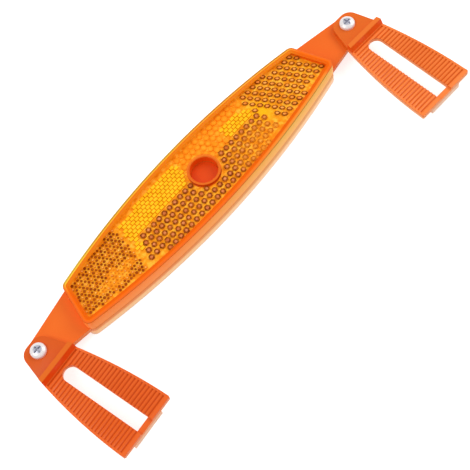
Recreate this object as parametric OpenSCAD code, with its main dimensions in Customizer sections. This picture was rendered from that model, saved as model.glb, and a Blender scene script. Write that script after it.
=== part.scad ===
// Spoke reflector for a bicycle wheel: a two-faced lens on a carrier, with a swivelling
// spoke clip screwed to each end. X runs from clip to clip, +Y points to the wheel's hub,
// +Z comes out of the front lens. The origin is the middle of the back face.

/* [Lens outline] */
// Distance between the two screws, which the length of the lens follows
screw_span = 160; // [130:1:190]
// Distance from a screw to the end of the lens
tab_reach = 18.1; // [17.6:0.1:26]
// Distance from the middle line to the point that both slanted ends aim at
hub_dist = 205; // [160:1:400]
// Half width in the middle, towards the hub
hub_half = 15; // [12:0.1:18]
// Half width in the middle, towards the rim
rim_half = 14.1; // [12:0.1:18]
// Half width at the ends, towards the hub
hub_end = 8.75; // [8.4:0.05:10]
// Half width at the ends, towards the rim
rim_end = 8.1; // [7.8:0.05:10]
// Radius of the four corners seen from the front
corner_r = 2.6; // [1.8:0.1:4]

/* [Lens shells] */
// Height of the front shell, from the joint to the front face
front_h = 5.6; // [4.8:0.1:7]
// Height of the back shell, from the back face to the joint
back_h = 4.9; // [4.4:0.1:7]
// Thickness of each lens face
face_t = 1.5; // [1:0.1:1.8]
// Thickness of the side walls
wall_t = 1.3; // [1:0.1:1.7]
// Width and depth of the bevel round each face
bevel = 0.7; // [0.3:0.1:0.9]
// How far the side walls lean in for release from the mould
draft = 0.2; // [0.1:0.05:0.4]
// Chord length of the facets along the long edges
edge_step = 11; // [8:0.5:20]

/* [Well] */
// Place of the round well along the lens
well_x = 3.1; // [0:0.1:8]
// Place of the round well across the lens
well_y = 0.6; // [-2:0.1:2]
// Radius of the well
well_r = 5; // [4:0.1:6]
// Wall of the tube round the well
well_wall = 1; // [0.8:0.1:1.5]
// Depth of the well's floor below the front face
well_depth = 3.5; // [2.6:0.1:3.8]

/* [Prism field] */
// Distance between neighbouring prisms of a row
prism_pitch = 2.67; // [2.4:0.01:4]
// Distance between two rows of the middle zone
row_pitch = 2.58; // [2.2:0.01:4]
// Distance between two rows of an end zone
end_row_pitch = 2.31; // [2.2:0.01:4]
// Place of one prism of the middle zone along the lens
prism_x = 1.4; // [0:0.1:2.7]
// Place of one prism of each end zone along the lens
end_prism_x = 36.1; // [34:0.1:38]
// Place of the row that both of these stand in
prism_y = 0.8; // [-1.3:0.1:1.3]
// Radius over the corners of a prism
prism_r = 1.05; // [0.8:0.05:1.1]
// Height of the prisms on the inner side of a face
prism_h = 0.9; // [0.5:0.1:1.1]
// Smooth band between the prisms and the edge of the lens
rim_band = 2.6; // [2:0.1:4]
// Half width of the middle zone on the middle line
zone_half = 33.5; // [25:0.5:40]
// Plain strip between two zones
zone_gap = 0.6; // [0.4:0.1:3]

/* [Carrier] */
// Thickness of the carrier and its tabs
tab_t = 2.2; // [1.8:0.1:2.6]
// Half width of a tab at its root in the lens, towards the hub
tab_hub = 9.8; // [8:0.1:9.8]
// Half width of a tab at its root in the lens, towards the rim
tab_rim = 8.1; // [7:0.1:8.6]
// Radius of a tab's outer end round the screw
tab_end_r = 5; // [4:0.1:5.4]
// Half width of the neck that runs through the end wall of the lens
neck_half = 4.8; // [3.5:0.1:5]

/* [Clip] */
// Turn of the left clip from the tab, in degrees
left_turn = 84.5; // [84:0.5:180]
// Turn of the right clip from the tab, in degrees
right_turn = 87.5; // [84:0.5:180]
// Thickness of the clip's pad and plate
clip_t = 1.95; // [1.6:0.05:2.4]
// Radius of the two corners at the pad's end
pad_r = 4.2; // [4:0.1:5]
// Half the distance between the middles of these corners
pad_spread = 1.3; // [0.6:0.1:2]
// Distance from the screw to the place where the pad meets the ridged plate
plate_start = 7.5; // [7:0.1:10]
// Distance from the screw to the outer end of the plate
clip_len = 45.8; // [40:0.1:55]
// Half width of the plate where it meets the pad
plate_in = 7.8; // [7:0.1:8.3]
// Half width of the plate at its outer end
plate_out = 12; // [10:0.1:15]
// How far the long sides of the plate belly out
plate_belly = 0.97; // [0.1:0.01:1.2]
// Distance from the screw to the inner face of the standing rib
rib_start = 7.2; // [6.5:0.1:8]
// Height of the standing rib above the pad
rib_h = 2.5; // [1.5:0.1:3.5]
// Thickness of the standing rib
rib_t = 1.7; // [1.2:0.1:2]
// How far the rib's outer face slopes out at its foot
rib_foot = 1; // [0.4:0.1:1.4]

/* [Clip grip] */
// Plain strip between the rib and the first ridge
ridge_gap = 0.3; // [0.1:0.1:1]
// Distance between two ridges
ridge_pitch = 1.4; // [1.1:0.05:2.5]
// Depth of the grooves between the ridges
ridge_h = 0.5; // [0.3:0.05:0.7]
// Width of the smooth border along the sides
border_w = 0.8; // [0.5:0.1:1.5]
// Width of the slot for the spokes
slot_w = 5.7; // [5:0.1:7]
// Distance from the screw to the rounded end of the slot
slot_start = 11.05; // [10.5:0.05:15]
// Width of the bar that closes the slot at the outer end
bar_w = 1.95; // [1.6:0.05:4]
// How far the bar lies below the ridge tops
bar_drop = 0.8; // [0.4:0.1:1]
// Width of the lip that hangs below the outer end
lip_w = 14; // [10:0.5:18]
// Drop of the lip below the plate
lip_h = 2.6; // [1.5:0.1:2.8]
// Thickness of the lip
lip_t = 1.1; // [0.8:0.1:1.5]

/* [Screw and nut] */
// Radius of the screw's shank
screw_r = 1.5; // [1.25:0.05:1.75]
// Length of the shank below the head
screw_len = 7; // [6.9:0.1:7.6]
// Radius of the pan head
head_r = 2.8; // [2.5:0.05:3.2]
// Height of the pan head
head_h = 1.9; // [1.6:0.05:2.4]
// Length across the cross recess
cross_w = 3; // [2.2:0.1:3.4]
// Width of one arm of the cross recess
cross_t = 0.6; // [0.4:0.05:0.8]
// Depth of the cross recess
cross_h = 1.1; // [0.7:0.05:1.3]
// Width of the nut across its flats
nut_w = 5.5; // [5:0.1:6]
// Thickness of the nut
nut_t = 2.4; // [1.8:0.1:2.4]
// Running clearance of the clip on the shank, on the radius
run_fit = 0.05; // [0.02:0.01:0.1]
// Clearance between pieces that are put together and don't move
seat_fit = 0.1; // [0.05:0.01:0.2]

/* [Hidden] */
$fn = 64;
// Overrun of every cut past the surface that it opens
over = wall_t / 2;
joint_z = back_h;
front_z = back_h + front_h;
tab_z = joint_z - tab_t / 2;
tab_top = tab_z + tab_t;
pad_z = tab_top + run_fit;
pad_top = pad_z + clip_t;
screw_x = screw_span / 2;
lens_half = screw_x - tab_reach;
end_ang = atan(lens_half / hub_dist);
// Radius of the arc that falls by sag on the way from the middle to the end of the lens
function edge_radius(sag) = (lens_half * lens_half + sag * sag) / (2 * sag);
hub_edge_r = edge_radius(hub_half - hub_end);
rim_edge_r = edge_radius(rim_half - rim_end);
corner_steps = 5;
side_steps = 10;
end_steps = 24;
// Cut corners at the outer end of the plate
plate_corner = clip_t / 5;
carrier_col = "#f26a1b";
lens_col = "#f5a21a";
clip_col = "#ee6416";
steel_col = "#c9cdd2";

// Point at radius r and angle a round c
function polar(c, r, a) = c + r * [cos(a), sin(a)];
function direction(v) = atan2(v.y, v.x);
// Points of an arc after its first one
function arc(c, r, a, b, n) = [for (k = [1 : n]) polar(c, r, a + (b - a) * k / n)];
function flip(p) = [-p.x, p.y];

// The outline has four sides: two long arcs, and two ends that aim at the hub.
hub = [0, hub_dist];
hub_c = [0, hub_half - hub_edge_r];
rim_c = [0, rim_edge_r - rim_half];
end_in = [-cos(end_ang), -sin(end_ang)];
end_dir = [sin(end_ang), -cos(end_ang)];
// Centre of a corner: at d + r inside the end line and rho from a long edge's centre.
// The end line crosses that circle on side -1 near the hub and on side 1 far from it.
function corner(c, rho, d, r, side) =
    let (q = hub + (d + r) * end_in - c, b = q * end_dir)
    c + q + (side * sqrt(b * b - q * q + rho * rho) - b) * end_dir;
// Right half of the outline, moved in by d, from the rim side to the hub side
function half_outline(d) =
    let (r = max(corner_r - d, corner_r / 4),
         low = corner(rim_c, rim_edge_r - d - r, d, r, 1),
         high = corner(hub_c, hub_edge_r - d - r, d, r, -1),
         low_a = direction(low - rim_c), high_a = direction(high - hub_c),
         n = ceil(lens_half / edge_step))
    concat(arc(rim_c, rim_edge_r - d, -90, low_a, n),
           arc(low, r, low_a, end_ang, corner_steps),
           arc(high, r, end_ang, high_a, corner_steps),
           arc(hub_c, hub_edge_r - d, high_a, 90, n));
function outline(d) =
    let (h = half_outline(d), n = len(h))
    concat(h, [for (k = [n - 2 : -1 : 0]) flip(h[k])], [[0, d - rim_half]]);

// Closed solid through outlines given as rows of inset and height
module loft(rows) {
    rings = [for (r = rows) [for (p = outline(r[0])) [p.x, p.y, r[1]]]];
    n = len(rings[0]);
    top = (len(rows) - 1) * n;
    sides = [for (j = [0 : len(rows) - 2]) for (k = [0 : n - 1])
        let (a = j * n + k, b = j * n + (k + 1) % n) each [[a, a + n, b + n], [a, b + n, b]]];
    polyhedron([for (r = rings) each r],
        concat([[for (k = [0 : n - 1]) k]], [[for (k = [n - 1 : -1 : 0]) top + k]], sides));
}

// Half width of the middle zone at height y: its borders aim at the hub too
function zone_edge(y) = zone_half * (hub_dist - y) / hub_dist;
// A prism stands where all of it lies inside the smooth band and off the zone borders
function in_field(p, margin) =
    norm(p - hub_c) < hub_edge_r - margin && norm(p - rim_c) < rim_edge_r - margin
    && ([abs(p.x), p.y] - hub) * end_in > margin
    && abs(abs(p.x) - zone_edge(p.y)) > zone_gap / 2 + prism_r;
function off_well(p) = norm(p - [well_x, well_y]) > well_r + well_wall + prism_r;

// Middles of the prisms in staggered rows, which stand closer in the two end zones
function grid_place(zone, x, j) = zone == 0 ? [prism_x + x, prism_y + row_pitch * j]
    : [zone * (end_prism_x + x), prism_y + end_row_pitch * j];
function prism_places(well) =
    let (cols = ceil(screw_x / prism_pitch), rows = ceil(hub_half / end_row_pitch) + 1)
    [for (zone = [-1 : 1]) for (j = [-rows : rows]) for (i = [-cols : cols])
        let (p = grid_place(zone, prism_pitch * (i + abs(j % 2) / 2), j),
             inner = abs(p.x) < zone_edge(p.y))
        if (inner == (zone == 0) && p.x * zone >= 0 && in_field(p, rim_band + prism_r)
            && (!well || off_well(p))) p];

// Hexagonal prisms on the inner side of a face
module prism_field(well) {
    linear_extrude(prism_h + over / 2)
        for (p = prism_places(well))
            translate(p) circle(prism_r, $fn = 6);
}

// One half of the lens, standing on the joint plane with its face on top
module shell(h, well) {
    inner_z = h - face_t;
    difference() {
        union() {
            difference() {
                loft([[0, 0], [draft, h - bevel], [draft + bevel, h]]);
                translate([0, 0, -over])
                    linear_extrude(inner_z + over) polygon(outline(wall_t));
            }
            translate([0, 0, inner_z - prism_h]) prism_field(well);
            if (well)
                translate([well_x, well_y, h - well_depth - bevel])
                    cylinder(h = well_depth, r = well_r + well_wall);
        }
        if (well)
            translate([well_x, well_y, -over]) cylinder(h = h + 2 * over, r = well_r);
        for (side = [-1, 1])
            neck_cut(side);
    }
}

// Room for one neck in the end wall of a shell
module neck_cut(side) {
    half = neck_half + seat_fit;
    reach = 4 * wall_t;
    translate([side * lens_half - reach, -half, -over])
        cube([2 * reach, 2 * half, tab_t / 2 + over]);
}

module front_lens() color(lens_col, 0.8) translate([0, 0, joint_z]) shell(front_h, true);
module back_lens() color(lens_col, 0.8) translate([0, 0, joint_z]) mirror([0, 0, 1]) shell(back_h, false);

// Point where the line from p touches the circle of radius r round c, on one side
function touch_angle(p, c, r, side) = direction(p - c) + side * acos(r / norm(p - c));
function touch(p, c, r, side) = polar(c, r, touch_angle(p, c, r, side));

// Flat plan of one tab: straight sides from the lens to the round end
module tab_plan() {
    root = [lens_half - 4 * wall_t, tab_hub];
    low = [root.x, -tab_rim];
    tip = [screw_x, 0];
    polygon(concat([root, low, touch(low, tip, tab_end_r, 1)],
        arc(tip, tab_end_r, touch_angle(low, tip, tab_end_r, 1),
            touch_angle(root, tip, tab_end_r, -1), end_steps)));
}

// Plate inside the lens with a neck and a tapered tab at each end
module carrier() color(carrier_col) difference() {
    neck_end = screw_x - tab_reach / 2;
    union() {
        translate([0, 0, tab_z]) linear_extrude(tab_t) polygon(outline(wall_t + seat_fit));
        translate([-neck_end, -neck_half, tab_z])
            cube([2 * neck_end, 2 * neck_half, tab_t]);
        for (side = [0, 1]) mirror([side, 0, 0]) difference() {
            translate([0, 0, tab_z]) linear_extrude(tab_t) tab_plan();
            translate([0, 0, tab_z - over])
                linear_extrude(tab_t + 2 * over) polygon(outline(-seat_fit));
        }
        translate([well_x, well_y, tab_z])
            cylinder(h = front_z - well_depth - tab_z, r = well_r - seat_fit);
    }
    for (side = [-1, 1])
        translate([side * screw_x, 0, tab_z - over])
            cylinder(h = tab_t + 2 * over, r = screw_r + run_fit);
}

// Half width of the ridged plate at distance u from the screw
function plate_half(u) =
    let (s = (u - plate_start) / (clip_len - plate_start))
    plate_in + (plate_out - plate_in) * s + 4 * plate_belly * s * (1 - s);
function plate_side(inset) = [for (k = [0 : side_steps])
    let (u = plate_start + (clip_len - plate_start - plate_corner) * k / side_steps)
    [u, plate_half(u) - inset]];

// Plan of the whole clip with its long axis on +X and the screw at the origin
module clip_plan(inset) {
    edge = plate_side(inset);
    n = len(edge);
    lower = [for (p = edge) [p.x, -p.y]];
    upper = [for (k = [n - 1 : -1 : 0]) edge[k]];
    outer = plate_half(clip_len) - plate_corner - inset;
    r = pad_r - inset;
    polygon(concat([[0, -pad_spread], touch(lower[0], [0, -pad_spread], r, -1)],
        lower, [[clip_len - inset, -outer], [clip_len - inset, outer]], upper,
        [touch(edge[0], [0, pad_spread], r, 1), [0, pad_spread]]));
    hull() for (side = [-1, 1])
        translate([0, side * pad_spread]) circle(r);
}

// Side view of the clip: flat pad, standing rib, and the plate with its ridges
module clip_profile() {
    rib_end = rib_start + rib_t;
    foot = rib_end + rib_foot;
    ridge_start = foot + ridge_gap;
    n = floor((clip_len - border_w - ridge_start) / ridge_pitch);
    low = pad_top - ridge_h;
    ridges = [for (k = [0 : n - 1]) let (u = ridge_start + k * ridge_pitch)
        each [[u, low], [u + ridge_pitch / 2, pad_top]]];
    polygon(concat(
        [[-pad_r, pad_z], [clip_len, pad_z], [clip_len, pad_top],
         [ridge_start + n * ridge_pitch + ridge_pitch / 2, pad_top],
         [ridge_start + n * ridge_pitch, low]],
        [for (k = [len(ridges) - 1 : -1 : 0]) ridges[k]],
        [[foot, low], [rib_end, pad_top + rib_h], [rib_start, pad_top + rib_h],
         [rib_start - rib_t / 6, pad_top], [-pad_r, pad_top]]));
}

// Rounded slot that opens towards the outer end, as long as the length asked for
module slot_cut(length, z, h) {
    translate([slot_start + slot_w / 2, 0, z]) cylinder(h = h, r = slot_w / 2);
    translate([slot_start + slot_w / 2, -slot_w / 2, z]) cube([length - slot_w / 2, slot_w, h]);
}

module clip() {
    slot_len = clip_len - bar_w - slot_start;
    difference() {
        union() {
            intersection() {
                rotate([90, 0, 0]) translate([0, 0, -plate_out - plate_belly])
                    linear_extrude(2 * (plate_out + plate_belly)) clip_profile();
                translate([0, 0, pad_z - over])
                    linear_extrude(clip_t + rib_h + 2 * over) clip_plan(0);
            }
            // Smooth border that ties the ends of the ridges
            translate([0, 0, pad_z]) linear_extrude(clip_t - ridge_h / 4) difference() {
                clip_plan(0);
                clip_plan(border_w);
            }
            // Lip that hangs from the outer end
            translate([clip_len - lip_t, -lip_w / 2, pad_z - lip_h])
                cube([lip_t, lip_w, lip_h + clip_t / 2]);
        }
        translate([0, 0, pad_z - over]) cylinder(h = clip_t + 2 * over, r = screw_r + run_fit);
        slot_cut(slot_len, pad_z - over, clip_t + 2 * over);
        // The closing bar is lower than the ridges on both sides of it
        slot_cut(slot_len + bar_w + over, pad_top - bar_drop, bar_drop + over);
    }
}

module left_clip() color(clip_col) translate([-screw_x, 0, 0]) rotate(-left_turn) clip();
module right_clip() color(clip_col) translate([screw_x, 0, 0]) rotate(right_turn - 180) clip();

// Pan-head screw with a cross recess, seated on the pad
module screw() color(steel_col) difference() {
    union() {
        translate([0, 0, pad_top - screw_len]) cylinder(h = screw_len + head_h / 4, r = screw_r);
        translate([0, 0, pad_top]) rotate_extrude() intersection() {
            square([head_r, head_h]);
            union() {
                square([head_r, head_h / 3]);
                translate([0, head_h / 3]) scale([head_r, head_h * 2 / 3]) circle(1);
            }
        }
    }
    for (a = [0, 90])
        rotate(a) translate([-cross_w / 2, -cross_t / 2, pad_top + head_h - cross_h])
            cube([cross_w, cross_t, cross_h + over]);
}

// Hexagon nut under the tab
module nut() color(steel_col) translate([0, 0, tab_z - nut_t]) difference() {
    cylinder(h = nut_t, r = nut_w / sqrt(3), $fn = 6);
    translate([0, 0, -over]) cylinder(h = nut_t + 2 * over, r = screw_r + run_fit / 2);
}

module left_screw() translate([-screw_x, 0, 0]) screw();
module right_screw() translate([screw_x, 0, 0]) screw();
module left_nut() translate([-screw_x, 0, 0]) nut();
module right_nut() translate([screw_x, 0, 0]) nut();

carrier();
front_lens();
back_lens();
left_clip();
right_clip();
left_screw();
right_screw();
left_nut();
right_nut();
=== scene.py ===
# %% [markdown]
# # A spoke reflector
# A spoke reflector is two clear amber shells welded face to face round an opaque orange carrier.
# Behind each face stands a field of small prisms, which throw light back to where it came from.
# At both ends a clip turns on a screw and grips a spoke. The construction is already there as a
# fixed frame of solids, in metres. This lesson dresses it: softer edges on the mouldings, real
# shells with rounded bevels, the prisms that the eye sees through the face, and every finish.

import math

import bmesh
import bpy
from mathutils import Matrix, Vector


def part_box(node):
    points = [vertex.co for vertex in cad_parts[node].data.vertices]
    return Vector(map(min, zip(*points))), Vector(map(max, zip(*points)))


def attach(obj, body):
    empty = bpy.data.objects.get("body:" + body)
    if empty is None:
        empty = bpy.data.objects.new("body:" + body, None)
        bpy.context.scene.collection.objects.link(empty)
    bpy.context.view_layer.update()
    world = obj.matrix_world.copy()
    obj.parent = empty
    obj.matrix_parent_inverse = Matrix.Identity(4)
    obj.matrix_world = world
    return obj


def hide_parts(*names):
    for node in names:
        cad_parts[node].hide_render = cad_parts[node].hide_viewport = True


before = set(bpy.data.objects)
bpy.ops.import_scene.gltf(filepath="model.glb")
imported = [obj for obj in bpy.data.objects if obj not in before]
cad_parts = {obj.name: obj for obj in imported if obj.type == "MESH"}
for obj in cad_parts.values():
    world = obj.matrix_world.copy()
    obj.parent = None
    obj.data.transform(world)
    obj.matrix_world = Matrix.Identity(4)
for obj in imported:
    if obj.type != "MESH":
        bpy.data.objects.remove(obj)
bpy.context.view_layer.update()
print("nodes:", sorted(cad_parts))

# %% [markdown]
# ## Sizes
# The lens has two long arcs, one towards the wheel's hub and one towards its rim, and two slanted
# ends that aim at the hub. It could be traced point by point, but a few driving sizes say the
# same, and the solids were built from them too. Heights are measured on the frame, so they can't
# drift away from it. Sizes are in millimetres and become metres where a piece is built.

# %% Driving sizes, in millimetres
MM = 0.001
LENS_HALF = 61.9  # half length, on the line between the screws
HUB_DIST = 205.0  # from the middle of the lens to the wheel's hub
HUB_HALF = 15.0  # width from the middle to the arc towards the hub
RIM_HALF = 14.1  # width from the middle to the arc towards the rim
HUB_END = 8.75  # the same two widths at the ends
RIM_END = 8.1
FACE_T = 1.5  # thickness of a shell's face
WALL_T = 1.3  # thickness of its side wall
WELL_X = 3.1  # middle of the round well
WELL_Y = 0.6
WELL_R = 5.0
WELL_WALL = 1.0
WELL_DEPTH = 3.5
END_ANGLE = math.atan(LENS_HALF / HUB_DIST)


def edge_radius(sag):
    """Radius of the arc that falls by sag from the middle to the end of the lens."""
    return (LENS_HALF * LENS_HALF + sag * sag) / (2 * sag)


HUB_EDGE_R = edge_radius(HUB_HALF - HUB_END)
RIM_EDGE_R = edge_radius(RIM_HALF - RIM_END)
JOINT_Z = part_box("back_lens")[1][2] / MM
FRONT_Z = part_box("front_lens")[1][2] / MM
PAD_Z = FRONT_Z - WELL_DEPTH
print(f"edge radii {HUB_EDGE_R:.1f} and {RIM_EDGE_R:.1f} mm")
print(f"joint at {JOINT_Z:.2f} mm, front face at {FRONT_Z:.2f} mm")

# %% [markdown]
# ## Small tools
# Colours are written the way a designer picks them, as sRGB hex, and one function turns them
# into the linear numbers that a shader needs. One more adds any node to any tree: its plain
# settings come by keyword, and its sockets in a dictionary that holds values or links. Nodes
# could be added by hand in the editor, but a script builds the same tree every time.

# %% Colour and node helpers
def colour(text):
    """Linear colour with alpha from sRGB hex."""
    parts = [int(text[k : k + 2], 16) / 255 for k in (1, 3, 5)]
    linear = [c / 12.92 if c <= 0.04045 else ((c + 0.055) / 1.055) ** 2.4 for c in parts]
    return (*linear, 1.0)


def add(tree, kind, sockets=None, **settings):
    """A new node. A socket gets a link if its value is a socket too, or else a plain value."""
    made = tree.nodes.new(kind)
    for name, value in settings.items():
        setattr(made, name, value)
    for name, value in (sockets or {}).items():
        if isinstance(value, bpy.types.NodeSocket):
            tree.links.new(value, made.inputs[name])
        else:
            made.inputs[name].default_value = value
    return made


def new_material(name):
    """An empty material, its tree and its output node."""
    material = bpy.data.materials.new(name)
    material.use_nodes = True
    material.node_tree.nodes.clear()
    return material, material.node_tree, add(material.node_tree, "ShaderNodeOutputMaterial")


def surface(tree, out, sockets):
    """A Principled surface with these sockets, linked to the material's output."""
    shader = add(tree, "ShaderNodeBsdfPrincipled", sockets)
    tree.links.new(shader.outputs[0], out.inputs["Surface"])


def in_scene(name, data):
    """An object in the scene with this data."""
    made = bpy.data.objects.new(name, data)
    bpy.context.scene.collection.objects.link(made)
    return made


print("orange, linear:", [round(c, 3) for c in colour("#f26a1b")[:3]])

# %% [markdown]
# A moulded part is never one flat tone: thin edges let light through, and deep places keep it.
# That light and shade is painted into the tone. It could be painted on an image, but an image
# needs an unwrapped mesh. Here it is reckoned from the place on the piece, so it is sharp at any
# distance and moves along with the piece.

# %% Helpers that read a place and mix tones
def object_coords(tree):
    """Object coordinates, in metres, which stay on the piece when it moves."""
    return add(tree, "ShaderNodeTexCoord").outputs["Object"]


def axes_of(tree):
    """The three object coordinates as outputs named X, Y and Z."""
    return add(tree, "ShaderNodeSeparateXYZ", {"Vector": object_coords(tree)}).outputs


def distance_to(tree, place):
    """Distance, in metres, from a place that is given in millimetres."""
    point = tuple(c * MM for c in place)
    return add(tree, "ShaderNodeVectorMath", {0: object_coords(tree), 1: point},
               operation="DISTANCE").outputs["Value"]


def looks_up(tree):
    """One where the surface faces up, falling to nothing on upright walls."""
    facing = add(tree, "ShaderNodeNewGeometry").outputs["Normal"]
    return add(tree, "ShaderNodeSeparateXYZ", {"Vector": facing}).outputs["Z"]


def noise(tree, size_mm, detail, roughness=0.5):
    """Noise with spots of about this size."""
    return add(tree, "ShaderNodeTexNoise", {
        "Vector": object_coords(tree), "Scale": 1 / (size_mm * MM), "Detail": detail,
        "Roughness": roughness}).outputs["Fac"]


def calc(tree, operation, *values):
    """Result of one sum with numbers, each a value or a socket."""
    return add(tree, "ShaderNodeMath", dict(enumerate(values)), operation=operation).outputs[0]


def measured(tree, value, low, high):
    """Share from 0 to 1 of a length between two places in millimetres."""
    return add(tree, "ShaderNodeMapRange", {
        "Value": value, "From Min": low * MM, "From Max": high * MM}).outputs["Result"]


def spread(tree, share, low, high):
    """Number between two others, by a share from 0 to 1."""
    return add(tree, "ShaderNodeMapRange", {
        "Value": share, "To Min": low, "To Max": high}).outputs["Result"]


def ramp(tree, share, stops):
    """Colour ramp from (place, hex) stops."""
    made = add(tree, "ShaderNodeValToRGB", {"Fac": share})
    while len(made.color_ramp.elements) < len(stops):
        made.color_ramp.elements.new(0.5)
    for element, (place, text) in zip(made.color_ramp.elements, stops):
        element.position = place
        element.color = colour(text)
    return made.outputs["Color"]


def blend(tree, share, low, high):
    """Colour between two others. Each is hex or a socket."""
    mix = add(tree, "ShaderNodeMix", {0: share}, data_type="RGBA")
    for place, tone in ((6, low), (7, high)):
        if isinstance(tone, str):
            mix.inputs[place].default_value = colour(tone)
        else:
            tree.links.new(tone, mix.inputs[place])
    return mix.outputs[2]


print("helpers for places and tones are ready")

# %% [markdown]
# ## Camera
# The camera stands where the photograph's did. Such a place can be found by trial. Here it came
# from matching some ninety points on the edges of the lens, the clips and the screws, so the long
# side runs from the lower left to the upper right as it should.

# %% Camera
EYE = Vector((-0.10665, -0.17203, 0.37316))
LOOK = Vector((0.24230, 0.36573, -0.89863)).normalized()
UP = Vector((0.71422, 0.55964, 0.42035)).normalized()
FRAME_PX = 470
FOCAL_PX = 1209.35
SENSOR_MM = 36.0

camera_data = bpy.data.cameras.new("camera")
camera_data.sensor_width = SENSOR_MM
camera_data.lens = SENSOR_MM * FOCAL_PX / FRAME_PX
camera = in_scene("camera", camera_data)
side = LOOK.cross(UP).normalized()
upright = side.cross(LOOK)
camera.matrix_world = Matrix.Translation(EYE) @ Matrix((side, upright, -LOOK)).transposed().to_4x4()
bpy.context.scene.camera = camera
print(f"camera at {[round(c, 3) for c in EYE]} m, lens {camera_data.lens:.1f} mm")

# %% [markdown]
# ## Floor and light
# The ground is a white sheet, as for a catalogue picture. Such pictures are exposed for pure
# white. Brighter lamps would do that too, but they would bleach the orange. So the sheet has a
# light of its own that only the camera's side sees, and what is left of the shadow is a faint
# one near the object.

# %% The floor
FLOOR_HALF = 1.5  # metres
FLOOR_LIFT = 0.7


def make_floor():
    """A white sheet under the object."""
    mesh = bpy.data.meshes.new("floor")
    signs = ((-1, -1), (1, -1), (1, 1), (-1, 1))
    corners = [(x * FLOOR_HALF, y * FLOOR_HALF, 0) for x, y in signs]
    mesh.from_pydata(corners, [], [(0, 1, 2, 3)])
    material, tree, out = new_material("white_paper_sweep")
    paper = add(tree, "ShaderNodeBsdfDiffuse", {"Color": colour("#dcdcdc")})
    path = add(tree, "ShaderNodeLightPath")
    seen = path.outputs["Is Camera Ray"]
    for kind in ("Is Glossy Ray", "Is Transmission Ray"):
        seen = calc(tree, "MAXIMUM", seen, path.outputs[kind])
    lift = add(tree, "ShaderNodeEmission", {
        "Color": colour("#ffffff"), "Strength": calc(tree, "MULTIPLY", seen, FLOOR_LIFT)})
    both = add(tree, "ShaderNodeAddShader", {0: paper.outputs[0], 1: lift.outputs[0]})
    tree.links.new(both.outputs[0], out.inputs["Surface"])
    mesh.materials.append(material)
    floor = in_scene("floor", mesh)


make_floor()
print(f"white floor, {2 * FLOOR_HALF:.0f} m wide")

# %% [markdown]
# Two big soft lamps stand left and right, and a white world fills the rest. One small lamp would
# throw hard shadows that hide the form. The sum of all three is set so that a surface that faces
# up shows about the colour that is written for it.

# %% Lamps and world
LAMP_SIZE = 0.6  # metres
WORLD_STRENGTH = 0.62


def soft_lamp(name, place, watts):
    """A round area lamp that aims at the origin."""
    data = bpy.data.lights.new(name, "AREA")
    data.shape = "DISK"
    data.size = LAMP_SIZE
    data.energy = watts
    lamp = in_scene(name, data)
    lamp.location = place
    lamp.rotation_euler = (-Vector(place)).to_track_quat("-Z", "Y").to_euler()


def white_world():
    """An even white sky."""
    world = bpy.data.worlds.new("studio")
    world.use_nodes = True
    tree = world.node_tree
    tree.nodes.clear()
    sky = add(tree, "ShaderNodeBackground", {
        "Color": colour("#ffffff"), "Strength": WORLD_STRENGTH})
    out = add(tree, "ShaderNodeOutputWorld")
    tree.links.new(sky.outputs[0], out.inputs["Surface"])
    bpy.context.scene.world = world


soft_lamp("key_lamp", (-0.50, 0.20, 0.75), 2.4)
soft_lamp("fill_lamp", (0.68, -0.15, 0.60), 3.0)
white_world()
bpy.context.scene.view_settings.view_transform = "Standard"
print("two lamps and a white world are set")

# %% [markdown]
# ## Finishes
# The carrier is injection-moulded, opaque orange polypropylene: a satin surface with a faint
# orange peel left by the mould. One plain colour would look like paint, so the tone drifts slowly
# over the piece. Light and shade are painted into the tone by place as well. On the carrier the
# floor of the well is painted redder, as it is lit through amber, and the tabs' edges are painted
# paler.

# %% Moulded orange plastic
PLASTIC_IOR = 1.49
SHEEN = 0.25
DRIFT_MM = 25.0
PEEL_MM = 0.6
PEEL_DEPTH = 0.00004  # metres
WELL_MIDDLE = (WELL_X, WELL_Y, PAD_Z)
TABS_FROM = (62.0, 66.0)  # distance from the well where the tabs begin


def moulded_plastic(name, light, dark, roughness, painted_light):
    """Satin moulded plastic. painted_light paints light and shade into its tone by place."""
    material, tree, out = new_material(name)
    drift = noise(tree, DRIFT_MM, 2.0)
    peel = noise(tree, PEEL_MM, 3.0)
    bump = add(tree, "ShaderNodeBump", {"Height": peel, "Strength": 0.12, "Distance": PEEL_DEPTH})
    surface(tree, out, {
        "Base Color": painted_light(tree, ramp(tree, drift, [(0.35, dark), (0.65, light)])),
        "Roughness": spread(tree, peel, roughness - 0.06, roughness + 0.08),
        "IOR": PLASTIC_IOR, "Specular IOR Level": SHEEN, "Normal": bump.outputs["Normal"]})
    return material


def carrier_painted_light(tree, tone):
    """Painted light and shade: redder on the floor of the well, and paler on the upright edges of the tabs.
    """
    away = distance_to(tree, WELL_MIDDLE)
    # painted light: the upright edges of the tabs are paler
    edges = blend(tree, looks_up(tree), "#ff9248", tone)
    outside = blend(tree, measured(tree, away, *TABS_FROM), tone, edges)
    # painted light: the floor of the well is redder, lit through amber
    return blend(tree, measured(tree, away, WELL_R, WELL_R + 0.3), "#e64e04", outside)


carrier_plastic = moulded_plastic("moulded_orange_polypropylene", "#f4701a", "#ee6412", 0.42, carrier_painted_light)
print("carrier plastic:", carrier_plastic.name)
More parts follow.
